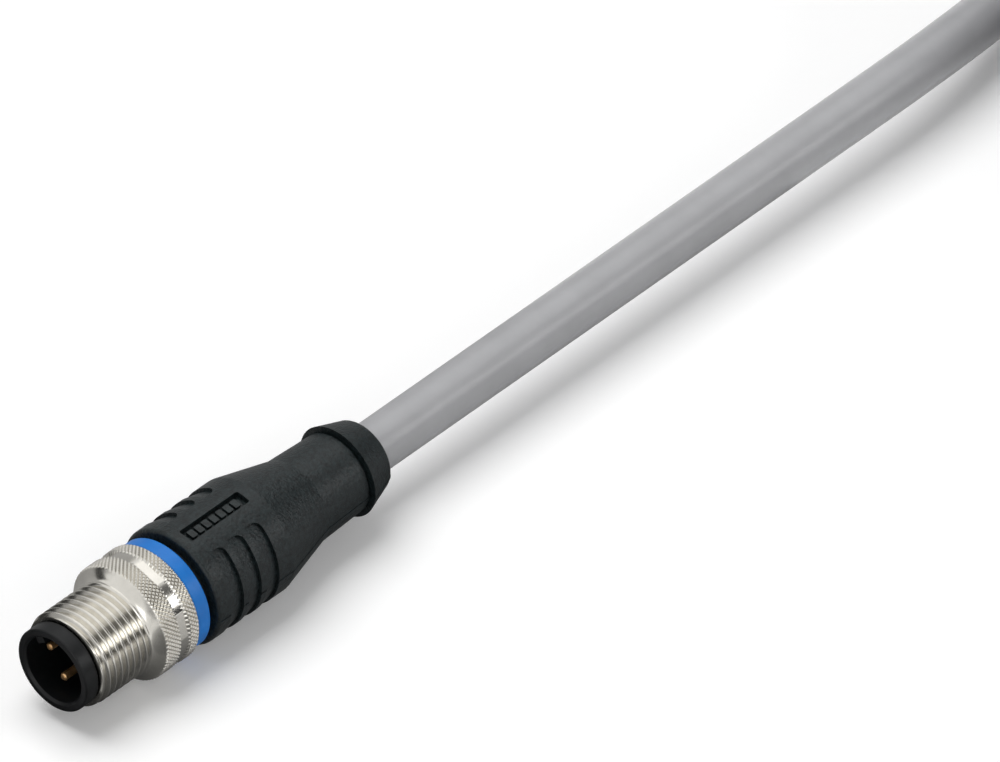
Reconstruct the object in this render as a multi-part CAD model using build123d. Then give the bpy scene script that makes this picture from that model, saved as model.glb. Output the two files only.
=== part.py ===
from build123d import *
import math
import os

# Straight four-pole M12 plug, moulded onto a round cable whose spare length is kept as a tied hank.
# Millimetres. +X runs from the mating face towards the cable and +Z is up. The origin lies under the
# middle of the plug, on the surface that it rests on. Inside the plug a place along the axis is a
# station, counted from the mating face, and a roll is an angle about the axis from +Z towards -Y.

# Contact carrier: the black insert, with a rim in front of the nut and a recess for the contacts
rim_dia = 10.66
rim_length = 2.05
rim_front_edge = 0.25
rim_rear_edge = 0.15
recess_dia = 8.5
recess_depth = 9.5
recess_lead_in = 0.3
barrel_dia = 9.9
carrier_length = 15.5
key_width = 1.2
key_height = 0.85
key_setback = 0.4

# Contacts: turned pins with a locating shoulder and a solder cup, pushed in from behind
contact_count = 4
contact_circle_dia = 5.5
contact_roll = 11.0
contact_dia = 1.0
contact_tip_round = 0.3
contact_setback = 2.3
shoulder_dia = 1.7
shoulder_start = 12.0
cup_length = 3.5
cup_bore_dia = 1.0
cup_bore_depth = 3.0

# Coupling nut: M12 x 1 outside, turning freely on the carrier
thread_dia = 12.0
thread_start_dia = 11.54
lead_in_length = 0.75
thread_length = 7.9
neck_dia = 11.6
neck_length = 1.04
neck_flare = 0.8
collar_dia = 14.84
front_knurl_length = 2.46
flats_length = 1.2
rear_knurl_length = 1.75
flats_count = 6
flats_dia = 14.4
flats_across = 14.0
flats_slope = 0.22
flats_roll = 15.8
collar_edge = 0.2
nut_front_gap = 0.15
nut_running_gap = 0.1
nut_counterbore_dia = 12.2
nut_counterbore_depth = 4.0

# Colour ring behind the nut
ring_dia = 14.08
ring_length = 2.05
ring_gap = 0.1
ring_edge = 0.25

# Inner mould: holds the carrier, the soldered joints and the end of the jacket
mould_neck_dia = 11.8
mould_neck_overlap = 3.7
mould_neck_shown = 0.9
mould_body_dia = 11.0
mould_tail_dia = 8.4
mould_shoulder = 13.6
mould_taper = 3.4
mould_tail = 3.4

# Grip: the outer overmould, from its front edge back to the end collar
grip_dia = 15.0
grip_barrel_length = 12.45
grip_cone_length = 7.85
grip_front_edge = 0.45
sleeve_front_dia = 11.0
sleeve_rear_dia = 10.4
sleeve_length = 7.4
collar_relief_dia = 9.6
collar_relief_width = 0.4
end_collar_dia = 11.7
end_collar_rear_dia = 8.9
end_collar_length = 4.3
end_collar_edge = 0.9
shape_blend = 1.2
parting_width = 0.16
parting_height = 0.07

# Finger grooves: saw-tooth scoops on both flanks of the grip
groove_count = 3
groove_first_step = 4.1
groove_pitch = 2.925
groove_ramp = 2.1
groove_depth = 0.42
groove_from_label = 25.0
groove_span = 130.0
groove_corner = 1.1

# Recess on top of the grip, with a row of plain raised blocks on its floor
label_roll = 7.8
label_start = 1.35
label_length = 9.6
label_width = 2.05
label_depth = 0.7
label_corner = 0.25
block_count = 7
block_first = 0.75
block_pitch = 1.18
block_length = 0.86
block_width = 1.15
block_corner = 0.15
block_sunk = 0.3

# Cable and its four cores
cable_dia = 6.32
jacket_inside_plug = 18.0
core_dia = 1.6
core_circle_dia = 2.26
conductor_bare = 4.3
outer_strands = 6
strand_dia = 0.34
strand_circle_dia = 0.56
core_straight_front = 3.5
core_straight_rear = 3.5
cable_straight = 97.0
drop_middle = 115.5
drop_middle_side = 2.9
drop_middle_rise = 0.9
drop_end = 124.5

# Stored length: an oval hank of two columns and three layers, resting on its ties
tie_thickness = 0.8
tie_width = 3.6
tie_clearance = 0.1
tie_head = (5.2, 4.6, 2.4)
hank_start = 132.25
hank_side = 4.3
hank_straight = 62.8
hank_fold_radius = 25.9
hank_pitch = 6.42
hank_columns = 2
hank_layers = 3
hank_edge = 3.0
entry_gap = 0.3
jacket_end_setback = 3.0

# Stripped end: four leads with crimped ferrules
lead_splay = 1.45
lead_clearance = 0.05
ferrule_collar_dia = 2.6
ferrule_collar_length = 5.0
ferrule_tube_dia = 1.2
ferrule_tube_length = 7.0
ferrule_tip_edge = 0.15
ferrule_grip = 3.0

# Stations along the plug, worked out from the lengths above
nut_front = rim_length + nut_front_gap
thread_end = nut_front + thread_length
collar_front = thread_end + neck_length
flats_front = collar_front + front_knurl_length
flats_rear = flats_front + flats_length
nut_rear = flats_rear + rear_knurl_length
ring_front = nut_rear + ring_gap
ring_rear = ring_front + ring_length
grip_front = ring_rear + mould_neck_shown
barrel_rear = grip_front + grip_barrel_length
cone_rear = barrel_rear + grip_cone_length
sleeve_rear = cone_rear + sleeve_length
plug_length = sleeve_rear + end_collar_length
jacket_front = plug_length - jacket_inside_plug
mould_front = nut_rear - mould_neck_overlap
cup_rear = carrier_length + cup_length
conductor_front = cup_rear - cup_bore_depth
core_front = conductor_front + conductor_bare
contact_rolls = [contact_roll - 360.0 * i / contact_count for i in range(contact_count)]
key_roll = contact_roll - 180.0 / contact_count
core_names = ["brown", "white", "blue", "black"]

# How far a cutter reaches past the face that it opens
overcut = 1.0

# The plug lies with its grip on the surface
axis_height = grip_dia / 2
in_row = Pos(-plug_length / 2, 0, axis_height)


def lathe(outline, rounds=()):
    """Solid turned about the axis from (station, radius) corners; rounds are (corner number, radius)."""
    face = make_face(Polyline(*[(x, 0, r) for x, r in outline], close=True)).face()
    for number, radius in rounds:
        x, r = outline[number]
        corner = face.vertices().sort_by_distance((x, 0, r))[0]
        face = face.fillet_2d(radius, [corner])
    return revolve(face, Axis.X)


def drum(start, end, dia):
    """Plain cylinder on the plug's axis between two stations."""
    return Pos((start + end) / 2, 0, 0) * Rot(0, 90, 0) * Cylinder(dia / 2, end - start)


def bend_radii(points):
    """Largest sensible radius at each inner point: 0.45 of the shorter run over tan of half the turn."""
    radii = []
    for before, here, after in zip(points, points[1:], points[2:]):
        run_in = Vector(*here) - Vector(*before)
        run_out = Vector(*after) - Vector(*here)
        half_turn = math.radians(run_in.get_angle(run_out)) / 2
        radii.append(0.45 * min(run_in.length, run_out.length) / math.tan(half_turn))
    return radii


def tube(points, dia):
    """Round tube along straight runs joined by tangent arcs."""
    path = FilletPolyline(*points, radius=bend_radii(points))
    section = Plane(origin=path @ 0, z_dir=path % 0) * Circle(dia / 2)
    return sweep(section, path=path)


# Contacts


def make_contact():
    """One contact on the plug's own axis, tip towards the mating face."""
    pin_r = contact_dia / 2
    body_r = shoulder_dia / 2
    bore_r = cup_bore_dia / 2
    outline = [
        (contact_setback, 0),
        (contact_setback, pin_r),
        (shoulder_start, pin_r),
        (shoulder_start, body_r),
        (cup_rear, body_r),
        (cup_rear, bore_r),
        (conductor_front, bore_r),
        (conductor_front, 0),
    ]
    return lathe(outline, [(1, contact_tip_round)])


def at_contact(roll):
    """Place on the contact circle."""
    return Rot(roll, 0, 0) * Pos(0, 0, contact_circle_dia / 2)


contacts = [at_contact(roll) * make_contact() for roll in contact_rolls]


# Contact carrier


def make_carrier():
    """Insert with its rim, recess, coding key and stepped contact seats."""
    outline = [
        (0, recess_dia / 2 + recess_lead_in),
        (0, rim_dia / 2),
        (rim_length, rim_dia / 2),
        (rim_length, barrel_dia / 2),
        (carrier_length, barrel_dia / 2),
        (carrier_length, 0),
        (recess_depth, 0),
        (recess_depth, recess_dia / 2),
        (recess_lead_in, recess_dia / 2),
    ]
    carrier = lathe(outline, [(1, rim_front_edge), (2, rim_rear_edge)])
    key_length = recess_depth - key_setback
    key_foot = (recess_dia + barrel_dia) / 4
    key_top = recess_dia / 2 - key_height
    key = Pos(key_setback + key_length / 2, 0, (key_foot + key_top) / 2) * Box(
        key_length, key_width, key_foot - key_top
    )
    carrier += Rot(key_roll, 0, 0) * key
    for contact, roll in zip(contacts, contact_rolls):
        shaft = drum(recess_depth - overcut, shoulder_start, contact_dia)
        seat = drum(shoulder_start, carrier_length + overcut, shoulder_dia)
        carrier -= at_contact(roll) * (shaft + seat)
    return carrier


carrier = make_carrier()


# Coupling nut


def make_nut():
    """Nut with a plain thread barrel, a flared neck and a collar that carries six small flats."""
    bore_r = barrel_dia / 2 + nut_running_gap
    seat_r = nut_counterbore_dia / 2
    collar_r = collar_dia / 2
    flats_r = flats_dia / 2
    outline = [
        (nut_front, bore_r),
        (nut_front, thread_start_dia / 2),
        (nut_front + lead_in_length, thread_dia / 2),
        (thread_end, thread_dia / 2),
        (thread_end, neck_dia / 2),
        (collar_front, neck_dia / 2),
        (collar_front, collar_r - collar_edge),
        (collar_front + collar_edge, collar_r),
        (flats_front - flats_slope, collar_r),
        (flats_front, flats_r),
        (flats_rear, flats_r),
        (flats_rear + flats_slope, collar_r),
        (nut_rear - collar_edge, collar_r),
        (nut_rear, collar_r - collar_edge),
        (nut_rear, seat_r),
        (nut_rear - nut_counterbore_depth, seat_r),
        (nut_rear - nut_counterbore_depth, bore_r),
    ]
    flare_room = min(collar_r - collar_edge - neck_dia / 2, neck_length)
    nut = lathe(outline, [(5, min(neck_flare, 0.9 * flare_room))])
    band = drum(flats_front, flats_rear, collar_dia + 2 * overcut)
    prism = RegularPolygon(flats_across / 2, flats_count, major_radius=False)
    prism = Pos(flats_front, 0, 0) * Rot(flats_roll, 0, 0) * extrude(Plane.YZ * prism, flats_length)
    return nut - (band - prism)


nut = make_nut()


# Colour ring


def make_ring():
    """Plain snap-on ring on the mould's neck, filling the space between the nut and the grip."""
    outline = [
        (ring_front, mould_neck_dia / 2),
        (ring_front, ring_dia / 2),
        (ring_rear, ring_dia / 2),
        (ring_rear, mould_neck_dia / 2),
    ]
    return lathe(outline, [(1, ring_edge), (2, ring_edge)])


# Cores and conductors inside the plug


def core_route():
    """Centre line of one core, from its solder cup to the jacket, in the plane above the axis."""
    cup_r = contact_circle_dia / 2
    core_r = core_circle_dia / 2
    return [
        (core_front, 0, cup_r),
        (core_front + core_straight_front, 0, cup_r),
        (jacket_front - core_straight_rear, 0, core_r),
        (jacket_front, 0, core_r),
    ]


def make_conductor():
    """Bare end of one core on the plug's own axis: six strands pressed round a seventh."""
    section = Circle(strand_dia / 2)
    section += PolarLocations(strand_circle_dia / 2, outer_strands) * Circle(strand_dia / 2)
    return Pos(conductor_front, 0, 0) * extrude(Plane.YZ * section, core_front - conductor_front)


cores = [Rot(roll, 0, 0) * tube(core_route(), core_dia) for roll in contact_rolls]
conductors = [at_contact(roll) * make_conductor() for roll in contact_rolls]


# Inner mould


def mould_outline():
    """Outer corners of the inner mould behind the grip's front edge."""
    taper_front = grip_front + mould_shoulder
    tail_front = taper_front + mould_taper
    tail_rear = tail_front + mould_tail
    return [
        (grip_front, mould_body_dia / 2),
        (taper_front, mould_body_dia / 2),
        (tail_front, mould_tail_dia / 2),
        (tail_rear, mould_tail_dia / 2),
    ]


def make_mould():
    """First shot of plastic: fills the space round the joints and grips the jacket's end."""
    body = mould_outline()
    jacket_r = cable_dia / 2
    outline = [
        (mould_front, barrel_dia / 2),
        (mould_front, mould_neck_dia / 2),
        (grip_front, mould_neck_dia / 2),
        *body,
        (body[-1][0], jacket_r),
        (jacket_front, jacket_r),
        (jacket_front, 0),
        (carrier_length, 0),
        (carrier_length, barrel_dia / 2),
    ]
    mould = lathe(outline)
    cup = drum(carrier_length - overcut, cup_rear, shoulder_dia)
    for roll, conductor, core in zip(contact_rolls, conductors, cores):
        mould -= at_contact(roll) * cup
        mould -= conductor
        mould -= core
    return mould


# Grip


def finger_groove(step, roll):
    """Scoop that ramps down towards the cable and ends in a step that faces the front."""
    skin = grip_dia / 2
    outline = [
        (step - groove_ramp, 0, skin + groove_depth),
        (step - groove_ramp, 0, skin),
        (step, 0, skin - groove_depth),
        (step, 0, skin + groove_depth),
    ]
    scoop = revolve(make_face(Polyline(*outline, close=True)), Axis.X, groove_span)
    ends = [
        edge
        for edge in scoop.edges().filter_by(GeomType.LINE)
        if all(abs(v.X - step) < 1e-6 for v in edge.vertices())
    ]
    scoop = fillet(ends, groove_corner)
    return Rot(roll, 0, 0) * scoop


def label_block(start, length, width, corner):
    """Upright block with rounded corners, above the axis, from a place behind the grip's front edge."""
    plate = RectangleRounded(length, width, corner)
    return Pos(grip_front + start + length / 2, 0, 0) * extrude(plate, grip_dia)


def label_pocket():
    """What the recess takes out of the grip's top: all but its floor and the raised blocks."""
    pocket = label_block(label_start, label_length, label_width, label_corner)
    pocket -= drum(grip_front, plug_length, grip_dia - 2 * label_depth)
    block_tops = drum(grip_front, plug_length, grip_dia - 2 * block_sunk)
    for i in range(block_count):
        start = label_start + block_first + i * block_pitch
        pocket -= label_block(start, block_length, block_width, block_corner) & block_tops
    return pocket


def grip_skin(proud):
    """Turned form of the overmould, its skin standing proud by a height."""
    mould = mould_outline()
    jacket_r = cable_dia / 2
    skin = grip_dia / 2 + proud
    relief_front = sleeve_rear - collar_relief_width
    outline = [
        (grip_front, mould[0][1]),
        (grip_front, skin),
        (barrel_rear, skin),
        (cone_rear, sleeve_front_dia / 2 + proud),
        (relief_front, sleeve_rear_dia / 2 + proud),
        (relief_front, collar_relief_dia / 2 + proud),
        (sleeve_rear, collar_relief_dia / 2 + proud),
        (sleeve_rear, end_collar_dia / 2 + proud),
        (plug_length, end_collar_rear_dia / 2 + proud),
        (plug_length, jacket_r),
        (mould[-1][0], jacket_r),
        *reversed(mould[1:]),
    ]
    rounds = [(1, grip_front_edge), (2, shape_blend), (3, shape_blend), (8, end_collar_edge)]
    return lathe(outline, rounds)


def make_grip():
    """Outer overmould with its cone, sleeve, end collar, parting line, finger grooves and recess."""
    grip = grip_skin(0)
    slice_length = plug_length - grip_front
    parting_slice = Pos(grip_front + slice_length / 2, 0, 0) * Box(slice_length, 2 * grip_dia, parting_width)
    grip += grip_skin(parting_height) & (Rot(label_roll, 0, 0) * parting_slice)
    for flank in (0, 180):
        for i in range(groove_count):
            step = grip_front + groove_first_step + i * groove_pitch
            grip -= finger_groove(step, label_roll + groove_from_label + flank)
    return grip - Rot(label_roll, 0, 0) * label_pocket()


# Cable: out of the grip, straight along the axis, then down into the hank

cable_r = cable_dia / 2
floor_layer = tie_thickness + cable_r
plug_rear = plug_length / 2
cable_route = [
    (plug_rear - jacket_inside_plug, 0, axis_height),
    (plug_rear + cable_straight, 0, axis_height),
    (plug_rear + drop_middle, drop_middle_side, floor_layer + drop_middle_rise),
    (plug_rear + drop_end, hank_side, floor_layer),
    (plug_rear + hank_start, hank_side, floor_layer),
]
hank_near = cable_route[-1][0]
hank_far = hank_near + hank_straight
hank_middle = hank_side - hank_fold_radius
fold_inner = hank_fold_radius - (hank_columns - 1) * hank_pitch - cable_r
fold_outer = hank_fold_radius + cable_r
hank_height = (hank_layers - 1) * hank_pitch + cable_dia
row_side = hank_side - hank_pitch * (hank_columns - 1)
row_floor = floor_layer + hank_pitch * (hank_layers - 2) + cable_r
row_height = floor_layer + hank_pitch * (hank_layers - 1)
jacket_end = hank_near + jacket_end_setback


def make_hank():
    """Outer shape of the wound turns, open where the cable runs in and where the stripped end lies."""
    centre = ((hank_near + hank_far) / 2, hank_middle, tie_thickness)
    ring = SlotCenterToCenter(hank_straight, 2 * fold_outer)
    ring -= SlotCenterToCenter(hank_straight, 2 * fold_inner)
    hank = Pos(*centre) * extrude(ring, hank_height)
    rims = hank.faces().sort_by(Axis.Z)
    hank = fillet(rims[0].edges() + rims[-1].edges(), hank_edge)
    hank -= tube(cable_route, cable_dia + 2 * entry_gap)
    row_top = tie_thickness + hank_height + overcut
    row_edges = (row_side - hank_pitch, row_side + hank_pitch / 2)
    row = Box(hank_far - jacket_end, row_edges[1] - row_edges[0], row_top - row_floor)
    row = Pos((jacket_end + hank_far) / 2, sum(row_edges) / 2, (row_floor + row_top) / 2) * row
    return hank - row


def make_tie(side):
    """Strap round both columns of one leg, with its lock on top."""
    inner_width = (hank_columns - 1) * hank_pitch + cable_dia + 2 * tie_clearance
    inner_height = hank_height + tie_clearance
    loop = RectangleRounded(inner_width + 2 * tie_thickness, inner_height + 2 * tie_thickness, hank_edge)
    loop -= RectangleRounded(inner_width, inner_height, hank_edge - tie_thickness)
    strap = extrude(Plane.YZ * loop, tie_width / 2, both=True)
    length, width, height = tie_head
    lock = Pos(0, 0, inner_height / 2 + tie_thickness / 2 + height / 2) * Box(length, width, height)
    middle = (hank_near + hank_far) / 2
    return Pos(middle, side, tie_thickness + inner_height / 2) * (strap + lock)


leg_centre = hank_pitch * (hank_columns - 1) / 2
tie_sides = {"near": hank_side - leg_centre, "far": 2 * hank_middle - hank_side + leg_centre}


# Stripped end: each lead leaves the jacket and splays until the ferrules clear each other

core_corners = {"brown": (1, 1), "white": (1, -1), "blue": (-1, -1), "black": (-1, 1)}
lead_lift = row_floor + ferrule_collar_dia / 2 + lead_clearance + lead_splay - row_height
lead_steps = [(0, 0.0, 0.0), (9, 0.0, 0.0), (18, 0.35, 0.3), (30, 1.0, 1.0), (42, 1.0, 1.0)]


def lead_route(name):
    """Centre line of one lead; each step says how far along, and its share of the splay and the lift."""
    across, up = core_corners[name]
    start = core_circle_dia / 2 * math.sqrt(0.5)
    points = []
    for along, side_share, lift_share in lead_steps:
        spread = start + (lead_splay - start) * side_share
        rise = start + (lead_splay - start) * lift_share
        points.append(
            (
                jacket_end + along,
                row_side + across * spread,
                row_height + up * rise + lead_lift * lift_share,
            )
        )
    return points


def ferrule_pieces(name):
    """Insulated collar over the lead's end and the metal tube that it holds."""
    x, y, z = lead_route(name)[-1]
    collar_front = x - ferrule_grip
    collar_rear = collar_front + ferrule_collar_length
    collar = drum(collar_front, collar_rear, ferrule_collar_dia) - drum(collar_front, x, core_dia)
    collar -= drum(x, collar_rear, ferrule_tube_dia)
    metal = drum(x, x + ferrule_tube_length, ferrule_tube_dia)
    metal = chamfer(metal.faces().sort_by(Axis.X)[-1].edges(), ferrule_tip_edge)
    return Pos(0, y, z) * collar, Pos(0, y, z) * metal


# Every piece as its own node

nodes = {
    "contact_carrier": in_row * carrier,
    "coupling_nut": in_row * nut,
    "colour_ring": in_row * make_ring(),
    "inner_mould": in_row * make_mould(),
    "grip_body": in_row * make_grip(),
}
for i, name in enumerate(core_names):
    nodes[f"contact_pin_{i + 1}"] = in_row * contacts[i]
    nodes[f"conductor_{name}"] = in_row * conductors[i]
    nodes[f"core_{name}"] = in_row * cores[i]
    nodes[f"lead_{name}"] = tube(lead_route(name), core_dia)
    nodes[f"ferrule_collar_{name}"], nodes[f"ferrule_tube_{name}"] = ferrule_pieces(name)
nodes["cable_run"] = tube(cable_route, cable_dia)
nodes["cable_hank"] = make_hank()
for place, side in tie_sides.items():
    nodes[f"hank_tie_{place}"] = make_tie(side)

os.makedirs("parts", exist_ok=True)
for name, solid in nodes.items():
    export_step(solid, f"parts/{name}.step")

print("cable bend radii", [round(r, 1) for r in bend_radii(cable_route)])
for name in core_names:
    print(f"lead {name} bend radii", [round(r, 1) for r in bend_radii(lead_route(name))])
print("plug length", round(plug_length, 2), "nodes", len(nodes))
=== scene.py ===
import math

import bpy
from mathutils import Matrix, Vector


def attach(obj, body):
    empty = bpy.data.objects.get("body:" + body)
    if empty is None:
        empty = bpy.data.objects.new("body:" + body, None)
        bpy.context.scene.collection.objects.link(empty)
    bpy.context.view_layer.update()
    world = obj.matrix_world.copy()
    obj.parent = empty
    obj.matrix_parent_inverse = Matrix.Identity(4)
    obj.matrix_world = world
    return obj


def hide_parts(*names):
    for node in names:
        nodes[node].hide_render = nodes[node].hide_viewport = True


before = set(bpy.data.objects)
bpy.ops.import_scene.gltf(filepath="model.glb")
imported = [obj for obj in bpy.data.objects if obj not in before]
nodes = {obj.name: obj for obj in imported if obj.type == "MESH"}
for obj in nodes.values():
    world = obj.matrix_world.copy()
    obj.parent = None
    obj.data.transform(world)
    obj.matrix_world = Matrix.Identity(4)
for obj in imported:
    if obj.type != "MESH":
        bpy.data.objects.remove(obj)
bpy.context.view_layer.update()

MM = 0.001

# The plug in the frame: stations run from the mating face, radii from the axis
PLUG_LENGTH = 51.6 * MM
AXIS_HEIGHT = 7.5 * MM
FACE = Vector((-PLUG_LENGTH / 2, 0, AXIS_HEIGHT))

# Angles in degrees past which two faces show an edge: new meshes, then the solids
MESH_EDGE_ANGLE = 35
SOLID_EDGE_ANGLE = 30


def mesh_object(name, vertices, faces):
    """New mesh object with shading split at sharp edges."""
    mesh = bpy.data.meshes.new(name)
    mesh.from_pydata([tuple(v) for v in vertices], [], faces)
    mesh.update()
    obj = bpy.data.objects.new(name, mesh)
    bpy.context.scene.collection.objects.link(obj)
    shade(obj, MESH_EDGE_ANGLE)
    return obj


def shade(obj, angle):
    """Smooth shading, split where faces meet at more than the angle in degrees."""
    mesh = obj.data
    mesh.shade_smooth()
    mesh.set_sharp_from_angle(angle=math.radians(angle))


# Materials

# Noise values at which a look has its two tones
TONE_SPAN = (0.3, 0.7)


class Look:
    """A node material with short ways to add the nodes that the looks here need."""

    def __init__(self, name, colour, roughness, metallic=0.0, **sockets):
        self.material = bpy.data.materials.new(name)
        self.material.use_nodes = True
        self.tree = self.material.node_tree
        self.shader = self.tree.nodes["Principled BSDF"]
        self.shader.inputs["Base Color"].default_value = (*colour, 1)
        self.shader.inputs["Roughness"].default_value = roughness
        self.shader.inputs["Metallic"].default_value = metallic
        for socket, value in sockets.items():
            self.shader.inputs[socket.replace("_", " ")].default_value = value
        self.place = self.node("ShaderNodeTexCoord").outputs["Object"]
        self.height = None

    def node(self, kind, **settings):
        made = self.tree.nodes.new(kind)
        for key, value in settings.items():
            setattr(made, key, value)
        return made

    def link(self, out, into):
        self.tree.links.new(out, into)

    def stretched(self, scale):
        """Object coordinates, stretched by a scale for each axis."""
        mapping = self.node("ShaderNodeMapping")
        mapping.inputs["Scale"].default_value = scale
        self.link(self.place, mapping.inputs["Vector"])
        return mapping.outputs["Vector"]

    def noise(self, scale, detail=3.0, stretch=(1, 1, 1)):
        """Noise value with a scale in cycles per metre."""
        made = self.node("ShaderNodeTexNoise")
        made.inputs["Scale"].default_value = scale
        made.inputs["Detail"].default_value = detail
        self.link(self.stretched(stretch), made.inputs["Vector"])
        return made.outputs["Fac"]

    def colour(self, value, low, high):
        """Base colour that drifts between two tones."""
        made = self.node("ShaderNodeValToRGB")
        for element, at, tone in zip(made.color_ramp.elements, TONE_SPAN, (low, high)):
            element.position = at
            element.color = (*tone, 1)
        self.link(value, made.inputs["Fac"])
        self.link(made.outputs["Color"], self.shader.inputs["Base Color"])

    def roughness(self, value, low, high):
        """Roughness that drifts between two values."""
        made = self.node("ShaderNodeMapRange")
        made.inputs["To Min"].default_value = low
        made.inputs["To Max"].default_value = high
        self.link(value, made.inputs["Value"])
        self.link(made.outputs["Result"], self.shader.inputs["Roughness"])

    def bump(self, value, depth, strength=1.0):
        """Fine relief of a depth in metres, added over the relief so far."""
        made = self.node("ShaderNodeBump")
        made.inputs["Distance"].default_value = depth
        made.inputs["Strength"].default_value = strength
        self.link(value, made.inputs["Height"])
        if self.height:
            self.link(self.height, made.inputs["Normal"])
        self.height = made.outputs["Normal"]
        self.link(self.height, self.shader.inputs["Normal"])

    def wear(self, obj):
        """Gives an object the material as its only one."""
        obj.data.materials.clear()
        obj.data.materials.append(self.material)


def nickel_look():
    """Satin nickel plating over turned brass: fine turning rings and faint cloudy patches."""
    look = Look("nickel_plating", (0.65, 0.63, 0.58), 0.17, metallic=1.0)
    look.colour(look.noise(700), (0.62, 0.60, 0.55), (0.68, 0.66, 0.61))
    look.roughness(look.noise(2600, detail=4), 0.13, 0.22)
    look.bump(look.noise(9000, detail=2, stretch=(1.0, 0.03, 0.03)), 0.0012 * MM, strength=0.5)
    return look


def moulded_look(name, dark, light, rough, grain, depth, shine=0.5, mottle=500):
    """Moulded plastic with a spark-eroded grain and slow changes of tone."""
    look = Look(name, light, rough, Specular_IOR_Level=shine)
    look.colour(look.noise(mottle, detail=4), dark, light)
    look.roughness(look.noise(1500), rough - 0.06, rough + 0.06)
    look.bump(look.noise(grain, detail=4), depth)
    return look


def extruded_look(name, dark, light, rough=0.36):
    """Extruded jacket or core: smooth, with faint ripples and a slight change of tone."""
    look = Look(name, light, rough, Specular_IOR_Level=0.5)
    look.colour(look.noise(240), dark, light)
    look.roughness(look.noise(900), rough - 0.05, rough + 0.05)
    look.bump(look.noise(420), 0.02 * MM, strength=0.5)
    look.bump(look.noise(7000, detail=2), 0.004 * MM, strength=0.5)
    return look


def plated_look(name, dark, light, rough, metallic=1.0):
    """Thin plating on a turned or crimped metal part."""
    look = Look(name, light, rough, metallic)
    look.colour(look.noise(1500), dark, light)
    look.roughness(look.noise(4000), rough - 0.06, rough + 0.08)
    look.bump(look.noise(12000, detail=2, stretch=(1.0, 0.1, 0.1)), 0.002 * MM, strength=0.5)
    return look


NICKEL = nickel_look()
GRIP_BLACK = moulded_look(
    "grip_black",
    (0.0024, 0.004, 0.0045),
    (0.0115, 0.019, 0.0205),
    rough=0.38,
    grain=2600,
    depth=0.1 * MM,
    shine=0.35,
    mottle=1900,
)
CARRIER_BLACK = moulded_look(
    "carrier_black",
    (0.0035, 0.004, 0.0045),
    (0.006, 0.0068, 0.0075),
    rough=0.4,
    grain=6000,
    depth=0.008 * MM,
    shine=0.25,
)
MOULD_BLACK = moulded_look(
    "mould_black",
    (0.008, 0.008, 0.009),
    (0.013, 0.013, 0.014),
    rough=0.45,
    grain=4000,
    depth=0.01 * MM,
)
RING_BLUE = moulded_look(
    "ring_blue",
    (0.002, 0.15, 0.53),
    (0.004, 0.18, 0.60),
    rough=0.38,
    grain=4200,
    depth=0.006 * MM,
    shine=0.35,
)
JACKET_GREY = extruded_look("jacket_grey", (0.35, 0.351, 0.362), (0.385, 0.386, 0.398))
TIE_BLACK = moulded_look(
    "tie_black",
    (0.010, 0.010, 0.011),
    (0.018, 0.018, 0.020),
    rough=0.42,
    grain=3000,
    depth=0.008 * MM,
)
GOLD = plated_look("contact_gold", (0.60, 0.34, 0.15), (0.82, 0.52, 0.25), rough=0.3, metallic=0.8)
COPPER = plated_look("bare_copper", (0.55, 0.24, 0.12), (0.75, 0.38, 0.22), rough=0.35)
TIN = plated_look("tin_plating", (0.55, 0.55, 0.56), (0.68, 0.68, 0.69), rough=0.32)
FERRULE_WHITE = moulded_look(
    "ferrule_plastic",
    (0.62, 0.62, 0.60),
    (0.70, 0.70, 0.68),
    rough=0.4,
    grain=2500,
    depth=0.006 * MM,
)
CORE_LOOKS = {
    "brown": extruded_look("core_brown", (0.085, 0.030, 0.014), (0.110, 0.042, 0.020)),
    "white": extruded_look("core_white", (0.66, 0.66, 0.64), (0.72, 0.72, 0.70)),
    "blue": extruded_look("core_blue", (0.014, 0.070, 0.34), (0.020, 0.095, 0.42)),
    "black": extruded_look("core_black", (0.012, 0.012, 0.013), (0.020, 0.020, 0.022)),
}

NODE_LOOKS = {
    "contact_carrier": CARRIER_BLACK,
    "colour_ring": RING_BLUE,
    "inner_mould": MOULD_BLACK,
    "grip_body": GRIP_BLACK,
    "hank_tie_near": TIE_BLACK,
    "hank_tie_far": TIE_BLACK,
}
for number, name in enumerate(CORE_LOOKS, 1):
    NODE_LOOKS[f"contact_pin_{number}"] = GOLD
    NODE_LOOKS[f"conductor_{name}"] = COPPER
    NODE_LOOKS[f"core_{name}"] = CORE_LOOKS[name]
    NODE_LOOKS[f"ferrule_collar_{name}"] = FERRULE_WHITE
    NODE_LOOKS[f"ferrule_tube_{name}"] = TIN
for name, look in NODE_LOOKS.items():
    look.wear(nodes[name])
    shade(nodes[name], SOLID_EDGE_ANGLE)


# Coupling nut: thread, neck, knurls and flats as one turned mesh. Sizes in millimetres; a turn is the
# roll about the axis from the top towards -Y, as a share of a circle

# Stations
NUT_FRONT = 2.2
THREAD_FIRST = 2.95
THREAD_LAST = 10.05
FLARE_FRONT = 10.1
COLLAR_FRONT = 11.14
SEAT_FRONT = 12.55
FLATS_FRONT = 13.6
FLATS_REAR = 14.8
NUT_REAR = 16.55

# Radii
NUT_BORE_R = 5.05
NUT_START_R = 5.77
NUT_SEAT_R = 6.1
THREAD_R = 6.0
NECK_R = 5.98
COLLAR_R = 7.42
FLATS_R = 7.2

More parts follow.
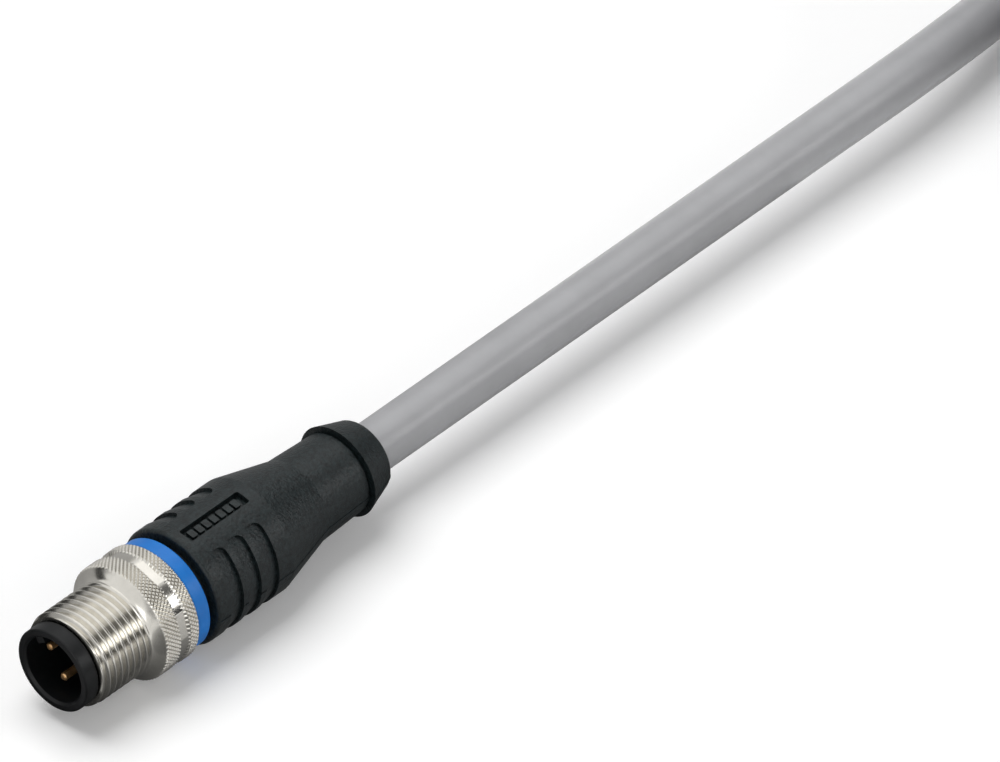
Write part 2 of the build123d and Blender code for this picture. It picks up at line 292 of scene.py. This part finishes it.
# Thread: the phase is the station of a groove's middle at the top, and the profile's shares of a pitch run
# from the middle of a crest to the groove
PITCH = 1.0
THREAD_DEPTH = 0.6
THREAD_PHASE = 3.54
GROOVE_HALF = 0.4375
CREST_BLEND = 0.05
ROOT_BLEND = 0.1
RUN_OUT = 0.45
PROFILE = [0.0, 0.035, 0.05, 0.0625, 0.078, 0.1, 0.2, 0.3, 0.36, 0.4, 0.44]

# Edges, flare, flats and knurls
FACE_CHAMFER_IN = 0.07
FACE_CHAMFER_BACK = 0.05
NECK_STEP = 0.04
FLARE_STEPS = 12
FLARE_POWER = 1.4
COLLAR_EDGE = 0.2
FLATS_HALF = 7.0
FLATS_COUNT = 6
FLATS_ROLL = 15.8 / 360
FLATS_SLOPE = 0.22
FLATS_STEPS = 4
KNURL_DEPTH = 0.19
KNURL_AXIAL = 0.65
KNURL_FLANK = 0.3

# Columns of the turned surfaces, teeth of the knurls round the nut, columns of each tooth
COLUMNS = 160
TEETH = 80
LATTICE = 8


def above_zero(value, blend):
    """The value where it is positive and else zero, with the corner blended over a reach on both sides."""
    if value <= -blend:
        return 0.0
    if value >= blend:
        return value
    return (value + blend) ** 2 / (4 * blend)


def thread_radius(station, turn):
    """Radius of the 60 degree thread, with its lead-in cone and its run-out at the neck."""
    phase = (station - THREAD_PHASE - turn * PITCH) / PITCH
    away = abs(phase - round(phase)) * PITCH
    groove = above_zero((GROOVE_HALF - away) * math.sqrt(3), CREST_BLEND)
    groove = THREAD_DEPTH - above_zero(THREAD_DEPTH - groove, ROOT_BLEND)
    rear = min(1.0, max(0.0, (THREAD_LAST - station) / RUN_OUT))
    cone = NUT_START_R + (THREAD_R - NUT_START_R) * (station - NUT_FRONT) / (THREAD_FIRST - NUT_FRONT)
    return min(THREAD_R - groove * rear, cone)


def knurl_drop(station, turn, start):
    """Depth of the diamond knurl: two crossing sets of grooves between flat-topped pyramids."""
    along = (station - start) / KNURL_AXIAL
    around = turn * TEETH
    crests = []
    for crossing in (around + along, around - along):
        from_groove = abs(crossing - round(crossing))
        crests.append(min(1.0, from_groove / KNURL_FLANK))
    return KNURL_DEPTH * (1 - min(crests))


def front_band_radius(station, turn):
    """Knurled band in front of the flats, with the collar's turned edge."""
    edge = COLLAR_R - COLLAR_EDGE + station - COLLAR_FRONT
    return min(COLLAR_R - knurl_drop(station, turn, COLLAR_FRONT), edge)


def rear_band_radius(station, turn):
    """Knurled band behind the flats, with the collar's turned edge."""
    edge = COLLAR_R - COLLAR_EDGE + NUT_REAR - station
    return min(COLLAR_R - knurl_drop(station, turn, FLATS_REAR + FLATS_SLOPE), edge)


def flats_radius(station, turn):
    """Radius of the band between the knurls: round, with small flats."""
    flat = 1.0 / FLATS_COUNT
    from_flat = (turn - FLATS_ROLL + flat / 2) % flat - flat / 2
    return min(FLATS_R, FLATS_HALF / math.cos(2 * math.pi * from_flat))


class Turned:
    """Mesh built up from rings about the plug's axis."""

    def __init__(self):
        self.vertices = []
        self.faces = []

    def point(self, station, turn, radius):
        """Number of a new vertex."""
        roll = 2 * math.pi * turn
        offset = Vector((station, -math.sin(roll) * radius, math.cos(roll) * radius))
        self.vertices.append(FACE + offset * MM)
        return len(self.vertices) - 1

    def ring(self, station, radius, columns=COLUMNS):
        """New closed ring; the radius is a length or a function of station and turn."""
        numbers = []
        for column in range(columns):
            turn = column / columns
            length = radius(station, turn) if callable(radius) else radius
            numbers.append(self.point(station, turn, length))
        return numbers

    def join(self, near, far):
        """Faces between two rings, of which the finer has a whole multiple of the coarser's columns."""
        columns = min(len(near), len(far))
        step_near, step_far = len(near) // columns, len(far) // columns
        for column in range(columns):
            front = [near[(column * step_near + k) % len(near)] for k in range(step_near + 1)]
            rear = [far[(column * step_far + k) % len(far)] for k in range(step_far + 1)]
            self.faces.append(front[::-1] + rear)

    def strip(self, rings):
        """Faces along a row of rings."""
        for near, far in zip(rings, rings[1:]):
            self.join(near, far)

    def lattice(self, stations, radius, columns):
        """Band of rings in triangles that follow the relief; returns its first and last ring."""
        rings = [self.ring(station, radius, columns) for station in stations]
        for near, far, front, rear in zip(rings, rings[1:], stations, stations[1:]):
            for column in range(columns):
                beside = (column + 1) % columns
                a, b, c, d = near[column], far[column], far[beside], near[beside]
                true = radius((front + rear) / 2, (column + 0.5) / columns)
                turns = column / columns, (column + 1) / columns
                rise = (radius(front, turns[0]) + radius(rear, turns[1])) / 2
                fall = (radius(rear, turns[0]) + radius(front, turns[1])) / 2
                if abs(rise - true) < abs(fall - true):
                    self.faces += [[a, b, c], [a, c, d]]
                else:
                    self.faces += [[a, b, d], [b, c, d]]
        return rings[0], rings[-1]

    def helix(self, start, end):
        """Thread whose rows run along the helix; returns its first and last ring."""
        first = self.ring(start, thread_radius)
        last = self.ring(end, thread_radius)
        shares = PROFILE + [0.5] + [1 - share for share in reversed(PROFILE[1:])]
        rows = []
        lowest = math.floor(start - THREAD_PHASE) - 2
        for lap in range(lowest, math.ceil(end - THREAD_PHASE) + 2):
            rows += [THREAD_PHASE + PITCH * (lap + 0.5 + share) for share in shares]
        known = {}

        def number(row, column):
            if column == COLUMNS:
                row, column = row + len(shares), 0
            station = rows[0] + (row // len(shares)) * PITCH + (rows[row % len(shares)] - rows[0])
            station += PITCH * column / COLUMNS
            if station <= start:
                return first[column]
            if station >= end:
                return last[column]
            if (row, column) not in known:
                turn = column / COLUMNS
                known[row, column] = self.point(station, turn, thread_radius(station, turn))
            return known[row, column]

        for row in range(len(rows)):
            for column in range(COLUMNS):
                corners = number(row, column), number(row + 1, column)
                corners += number(row + 1, column + 1), number(row, column + 1)
                face = list(dict.fromkeys(corners))
                if len(face) > 2:
                    self.faces.append(face)
        return first, last


def band_stations(start, end):
    """Stations of a knurled band, on its lattice; a last step of next to nothing is left out."""
    step = KNURL_AXIAL / LATTICE
    nothing = 1e-6
    count = math.ceil((end - start) / step - nothing)
    return [start + step * k for k in range(count)] + [end]


def make_nut():
    """The turned nut with its thread, flared neck, knurled bands and flats."""
    nut = Turned()
    fine = TEETH * LATTICE
    bore = nut.ring(NUT_FRONT, NUT_BORE_R)
    face_edge = nut.ring(NUT_FRONT, NUT_START_R - FACE_CHAMFER_IN)
    thread, neck = nut.helix(NUT_FRONT + FACE_CHAMFER_BACK, THREAD_LAST)
    front_stations = band_stations(COLLAR_FRONT, FLATS_FRONT - FLATS_SLOPE)
    front, front_end = nut.lattice(front_stations, front_band_radius, fine)
    rear_stations = band_stations(FLATS_REAR + FLATS_SLOPE, NUT_REAR)
    rear, rear_end = nut.lattice(rear_stations, rear_band_radius, fine)
    nut.strip([bore, face_edge, thread])

    flare = [nut.ring(THREAD_LAST + NECK_STEP, NECK_R)]
    flare_rise = COLLAR_R - COLLAR_EDGE - NECK_R
    for k in range(FLARE_STEPS):
        share = k / FLARE_STEPS
        station = FLARE_FRONT + (COLLAR_FRONT - FLARE_FRONT) * share
        flare.append(nut.ring(station, NECK_R + flare_rise * share**FLARE_POWER))
    nut.strip([neck, *flare, front])

    flats = []
    for k in range(FLATS_STEPS + 1):
        station = FLATS_FRONT + (FLATS_REAR - FLATS_FRONT) * k / FLATS_STEPS
        flats.append(nut.ring(station, flats_radius, fine))
    nut.strip([front_end, *flats, rear])

    seat = [(NUT_REAR, NUT_SEAT_R), (SEAT_FRONT, NUT_SEAT_R), (SEAT_FRONT, NUT_BORE_R)]
    nut.strip([rear_end, *[nut.ring(station, radius) for station, radius in seat], bore])
    return mesh_object("turned_nut", nut.vertices, nut.faces)


nut = make_nut()
NICKEL.wear(nut)
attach(nut, "coupling_nut")
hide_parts("coupling_nut")


# Cable, in metres: the route's points, then the turns of the stored hank

CABLE_D = 6.32 * MM
CABLE_ROUTE = [
    (0.00780, 0.0, 0.0075),
    (0.10395, 0.0, 0.0075),
    (0.12280, 0.0, 0.0075),
    (0.14130, 0.0029, 0.00486),
    (0.15030, 0.0043, 0.00396),
    (0.15805, 0.0043, 0.00396),
]
HANK_NEAR = 0.15805
HANK_STRAIGHT = 0.0628
HANK_SIDE = 0.0043
HANK_R = 0.0259
HANK_PITCH = 0.00642
HANK_FLOOR = 0.00396
JACKET_SETBACK = 0.003
JACKET_END = HANK_NEAR + JACKET_SETBACK
TURNS = 5
LEG_SHARES = (0.3, 0.7)
FOLD_POINTS = 6

# Columns and layers in the order in which the turns fill them, and the ways at which each gives way to the
# next; a way counts quarters of a turn: leg, fold, leg, fold
SLOTS = [(0, 0), (1, 0), (1, 1), (0, 1), (0, 2), (1, 2)]
SHIFTS = [3.7, 7.1, 10.5, 13.9, 17.3]
SHIFT_HALF = 0.3


def slot_at(way):
    """Column and layer of the winding at a way."""
    column, layer = SLOTS[0]
    for before, after, centre in zip(SLOTS, SLOTS[1:], SHIFTS):
        share = min(1.0, max(0.0, (way - centre + SHIFT_HALF) / (2 * SHIFT_HALF)))
        share = share * share * (3 - 2 * share)
        column += (after[0] - before[0]) * share
        layer += (after[1] - before[1]) * share
    return column, layer


def hank_point(way):
    """Control point of the winding; on a fold it lies on the polygon round the arc."""
    column, layer = slot_at(way)
    quarter, share = int(way) % 4, way % 1.0
    radius = HANK_R - column * HANK_PITCH
    middle = HANK_SIDE - HANK_R
    height = HANK_FLOOR + layer * HANK_PITCH
    if quarter == 0:
        return (HANK_NEAR + HANK_STRAIGHT * share, middle + radius, height)
    if quarter == 2:
        return (HANK_NEAR + HANK_STRAIGHT * (1 - share), middle - radius, height)
    outer = radius / math.cos(math.pi / 2 / FOLD_POINTS)
    out, side = outer * math.sin(math.pi * share), outer * math.cos(math.pi * share)
    if quarter == 1:
        return (HANK_NEAR + HANK_STRAIGHT + out, middle + side, height)
    return (HANK_NEAR - out, middle - side, height)


def hank_points():
    """Control points of all the turns, up to the end of the jacket."""
    points = []
    for quarter in range(4 * TURNS):
        shares = LEG_SHARES
        if quarter % 2:
            shares = [(k + 0.5) / FOLD_POINTS for k in range(FOLD_POINTS)]
        points += [hank_point(quarter + share) for share in shares]
    last = hank_point(4 * TURNS)
    return points + [last, (JACKET_END, last[1], last[2])]


def cord_object(name, points, diameter, bevel):
    """Round cord along one open NURBS spline; the bevel counts the steps of its section."""
    curve = bpy.data.curves.new(name, "CURVE")
    curve.dimensions = "3D"
    curve.bevel_depth = diameter / 2
    curve.bevel_resolution = bevel
    curve.use_fill_caps = True
    spline = curve.splines.new("NURBS")
    spline.points.add(len(points) - 1)
    for point, place in zip(spline.points, points):
        point.co = (*place, 1)
    spline.order_u = 3
    spline.use_endpoint_u = True
    spline.resolution_u = 10
    obj = bpy.data.objects.new(name, curve)
    bpy.context.scene.collection.objects.link(obj)
    return obj


cable = cord_object("cable", CABLE_ROUTE + hank_points(), CABLE_D, bevel=8)
JACKET_GREY.wear(cable)
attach(cable, "plug")
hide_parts("cable_run", "cable_hank")


# Stripped end: four leads along the empty row on top of the hank

CORE_D = 1.6 * MM
CORE_CORNERS = {"brown": (1, 1), "white": (1, -1), "blue": (-1, -1), "black": (-1, 1)}
CORE_CIRCLE_D = 2.26 * MM
CORE_START = CORE_CIRCLE_D / 2 * math.sqrt(0.5)
LEAD_SPLAY = 1.45 * MM
FERRULE_COLLAR_D = 2.6 * MM
LEAD_CLEARANCE = 0.05 * MM

# Points of a lead: millimetres from the jacket's end, share of the splay and share of the lift
LEAD_SHARES = [(0, 0.0, 0.0), (9, 0.0, 0.0), (18, 0.35, 0.3), (30, 1.0, 1.0), (42, 1.0, 1.0)]
ROW_SIDE = HANK_SIDE - HANK_PITCH
ROW_HEIGHT = HANK_FLOOR + 2 * HANK_PITCH
ROW_FLOOR = HANK_FLOOR + HANK_PITCH + CABLE_D / 2
LEAD_LIFT = ROW_FLOOR + FERRULE_COLLAR_D / 2 + LEAD_CLEARANCE + LEAD_SPLAY - ROW_HEIGHT


def lead_route(name):
    """Centre line of one lead from the jacket's end to its ferrule."""
    across, up = CORE_CORNERS[name]
    points = []
    for along, side_share, lift_share in LEAD_SHARES:
        spread = CORE_START + (LEAD_SPLAY - CORE_START) * side_share
        rise = CORE_START + (LEAD_SPLAY - CORE_START) * lift_share
        height = ROW_HEIGHT + up * rise + LEAD_LIFT * lift_share
        points.append((JACKET_END + along * MM, ROW_SIDE + across * spread, height))
    return points


for name in CORE_LOOKS:
    route = lead_route(name)
    lead = cord_object(f"wire_{name}", route, CORE_D, bevel=5)
    CORE_LOOKS[name].wear(lead)
    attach(lead, "plug")
    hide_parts(f"lead_{name}")


# Floor, lights and camera

VIEW_BACK = Vector((-0.5630, -0.5185, 0.6436)).normalized()
VIEW_RIGHT = Vector((-VIEW_BACK.y, VIEW_BACK.x, 0)).normalized()
VIEW_UP = VIEW_BACK.cross(VIEW_RIGHT)
CENTRE_RIGHT = 50.474 * MM
CENTRE_UP = 32.697 * MM
VIEW_CENTRE = FACE + VIEW_RIGHT * CENTRE_RIGHT + VIEW_UP * CENTRE_UP
VIEW_DISTANCE = 3.13
STUDIO_MIDDLE = Vector((0.03, 0, 0))
FLOOR_HALF = 6.0
WHITE = (1, 1, 1, 1)

# The floor's own glow and the world's level where they are seen, and the world's level as light
FLOOR_SEEN = 0.12
WORLD_SEEN = 1.0
WORLD_AS_LIGHT = 0.3


def make_camera():
    """Long lens at the photograph's angle, framed on the plug and the cable's start."""
    data = bpy.data.cameras.new("camera")
    data.lens = 1000
    data.sensor_width = 36
    data.clip_start = 0.01
    data.clip_end = 50
    camera = bpy.data.objects.new("camera", data)
    turn = Matrix((VIEW_RIGHT, VIEW_UP, VIEW_BACK)).transposed()
    camera.matrix_world = Matrix.Translation(VIEW_CENTRE + VIEW_BACK * VIEW_DISTANCE) @ turn.to_4x4()
    bpy.context.scene.collection.objects.link(camera)
    bpy.context.scene.camera = camera


def aimed(obj, towards, distance):
    """Places an object in a direction from the studio's middle, facing back at it."""
    aim = Vector(towards).normalized()
    obj.location = STUDIO_MIDDLE + aim * distance
    obj.rotation_mode = "QUATERNION"
    obj.rotation_quaternion = aim.to_track_quat("Z", "Y")


def area_light(name, towards, distance, size, power, seen=True):
    """Soft box that looks at the plug from a direction; it may be left out of reflections."""
    data = bpy.data.lights.new(name, "AREA")
    data.shape = "RECTANGLE"
    data.size, data.size_y = size
    data.energy = power
    light = bpy.data.objects.new(name, data)
    light.visible_glossy = seen
    aimed(light, towards, distance)
    bpy.context.scene.collection.objects.link(light)


def glow(name, level):
    """Look of an even level that neither light nor shadow changes."""
    look = Look(name, (0.0, 0.0, 0.0), 1.0, Specular_IOR_Level=0.0)
    look.shader.inputs["Emission Color"].default_value = WHITE
    look.shader.inputs["Emission Strength"].default_value = level
    return look


def painted_shade_glow(name, near, near_level, far, far_level):
    """Look whose level drifts with the distance to the side of the plug's axis: painted shade in
    reflections, darkest next to the plug.
    """
    look = glow(name, near_level)
    parts = look.node("ShaderNodeSeparateXYZ")
    look.link(look.place, parts.inputs["Vector"])
    side = look.node("ShaderNodeMath", operation="ABSOLUTE")
    look.link(parts.outputs["Y"], side.inputs[0])
    drift = look.node("ShaderNodeMapRange")
    ends = {"From Min": near, "From Max": far, "To Min": near_level, "To Max": far_level}
    for socket, value in ends.items():
        drift.inputs[socket].default_value = value
    look.link(side.outputs[0], drift.inputs["Value"])
    look.link(drift.outputs["Result"], look.shader.inputs["Emission Strength"])
    return look


def painted_reflection_card(corners, look):
    """Card that paints a reflection: its even glow shows only in reflections, while the camera, the light
    and the shadows pass through it.
    """
    card = mesh_object(look.material.name, corners, [tuple(range(len(corners)))])
    look.wear(card)
    card.visible_camera = False
    card.visible_diffuse = False
    card.visible_shadow = False


def flat_card(height, *corners):
    """Corners of a card that lies just over the floor."""
    return [(*corner, height) for corner in corners]


def upright_card(start, end, height):
    """Corners of a card that stands on the floor along a line."""
    return [(*start, 0.0), (*end, 0.0), (*end, height), (*start, height)]


def arc_card(distance, low, high):
    """Corners of a long card that fills a span of rolls, in degrees, as the plug's axis sees it."""
    start, end = -0.1, 1.2
    corners = []
    for roll, along in ((low, start), (low, end), (high, end), (high, start)):
        angle = math.radians(roll)
        corners.append((along, -distance * math.sin(angle), distance * math.cos(angle)))
    return corners


def seen_directly(tree):
    """Output that is 1 on camera, glossy and transmission rays, and 0 on the rays that carry light."""
    path = tree.nodes.new("ShaderNodeLightPath")
    shown = path.outputs["Is Camera Ray"]
    for kind in ("Is Glossy Ray", "Is Transmission Ray"):
        either = tree.nodes.new("ShaderNodeMath")
        either.operation = "MAXIMUM"
        tree.links.new(shown, either.inputs[0])
        tree.links.new(path.outputs[kind], either.inputs[1])
        shown = either.outputs[0]
    return shown


def make_floor():
    """Wide pale floor that keeps the object's shadow."""
    half = FLOOR_HALF
    corners = [(-half, -half, 0), (half, -half, 0), (half, half, 0), (-half, half, 0)]
    floor = mesh_object("floor", corners, [(0, 1, 2, 3)])
    look = Look("floor_white", (0.94, 0.94, 0.94), 0.9, Specular_IOR_Level=0.0)
    lift = look.node("ShaderNodeMapRange")
    lift.inputs["To Max"].default_value = FLOOR_SEEN
    look.link(seen_directly(look.tree), lift.inputs["Value"])
    look.shader.inputs["Emission Color"].default_value = WHITE
    look.link(lift.outputs["Result"], look.shader.inputs["Emission Strength"])
    look.wear(floor)


def make_world():
    """White where the camera or a reflection looks past the floor, soft grey as light."""
    world = bpy.data.worlds.new("studio")
    bpy.context.scene.world = world
    world.use_nodes = True
    tree = world.node_tree
    background = tree.nodes["Background"]
    level = tree.nodes.new("ShaderNodeMapRange")
    level.inputs["To Min"].default_value = WORLD_AS_LIGHT
    level.inputs["To Max"].default_value = WORLD_SEEN
    tree.links.new(seen_directly(tree), level.inputs["Value"])
    tree.links.new(level.outputs["Result"], background.inputs["Strength"])
    background.inputs["Color"].default_value = WHITE


def make_lights():
    """Large box overhead, a long one on the right that the metal shows, and a weak one from the front."""
    area_light("overhead", (-0.02, 0.32, 1.0), distance=0.9, size=(0.74, 0.74), power=6.2, seen=False)
    area_light("side_box", (0.563, -0.73, 0.432), distance=0.9, size=(0.7, 0.25), power=1.6)
    area_light("front_fill", (-0.85, -0.45, 0.42), distance=0.9, size=(0.36, 0.34), power=0.5)


def make_cards():
    """Painted reflections, which only reflections show: painted shade of the floor round the plug, then
    dark and grey on its far and left side, then dark bands and a bright glow along and past the cable.
    """
    front, split, rear = -0.06, -0.021, 0.1
    side, back = -0.042, 0.014
    low, high = 0.0005, 0.0006
    front_corners = flat_card(low, (front, side), (split, side), (split, back), (front, back))
    under_corners = flat_card(low, (split, side), (rear, side), (rear, back), (split, back))
    back_corners = [(-0.027, back, low), (0.06, back, low), (0.2, 0.1, 0.1), (-0.018, 0.1, 0.1)]
    # Painted shadow: these cards just over the floor glow least next to the plug, so the metal reflects a
    # shaded floor there
    front_painted_shade = painted_shade_glow("painted_shade_front", near=0.003, near_level=0.03, far=0.042, far_level=0.65)
    under_painted_shade = painted_shade_glow("painted_shade_under", near=0.003, near_level=0.06, far=0.042, far_level=0.85)
    back_painted_shade = painted_shade_glow("painted_shade_back", near=0.014, near_level=0.32, far=0.026, far_level=0.48)
    painted_reflection_card(front_corners, front_painted_shade)
    painted_reflection_card(under_corners, under_painted_shade)
    painted_reflection_card(back_corners, back_painted_shade)

    # Painted reflections: cards of an even low glow, dark on the far side and grey on the left, that only
    # reflections show
    far_floor = flat_card(high, (-0.03, 0.004), (-0.019, 0.2), (-0.19, 0.2))
    left_floor = flat_card(high, (-0.15, -0.006), (-0.0285, -0.006), (-0.03, 0.004), (-0.19, 0.2))
    left_end = (-0.062, 0.06)
    painted_reflection_card(far_floor, glow("painted_dark_far_floor", 0.04))
    painted_reflection_card(upright_card(left_end, (-0.02, 0.16), height=0.04), glow("painted_dark_far", 0.04))
    painted_reflection_card(left_floor, glow("painted_grey_left_floor", 0.4))
    painted_reflection_card(upright_card((-0.1, -0.03), left_end, height=0.024), glow("painted_grey_left", 0.45))

    # Painted reflections: a dark card past the cable's end, a bright glow overhead that paints the metal's
    # broad highlight though it is no lamp, and two dark bands that paint dark stripes in the metal
    painted_reflection_card(upright_card((1.4, -1.5), (1.4, 1.5), height=1.1), glow("painted_dark_end", 0.1))
    painted_reflection_card(arc_card(distance=0.85, low=-39, high=14), glow("painted_highlight_top", 1.45))
    painted_reflection_card(arc_card(distance=0.8, low=25.5, high=50.5), glow("painted_dark_upper", 0.13))
    painted_reflection_card(arc_card(distance=1.0, low=69, high=93), glow("painted_dark_horizon", 0.0))


make_camera()
make_floor()
make_world()
make_lights()
make_cards()
bpy.context.scene.view_settings.view_transform = "Standard"
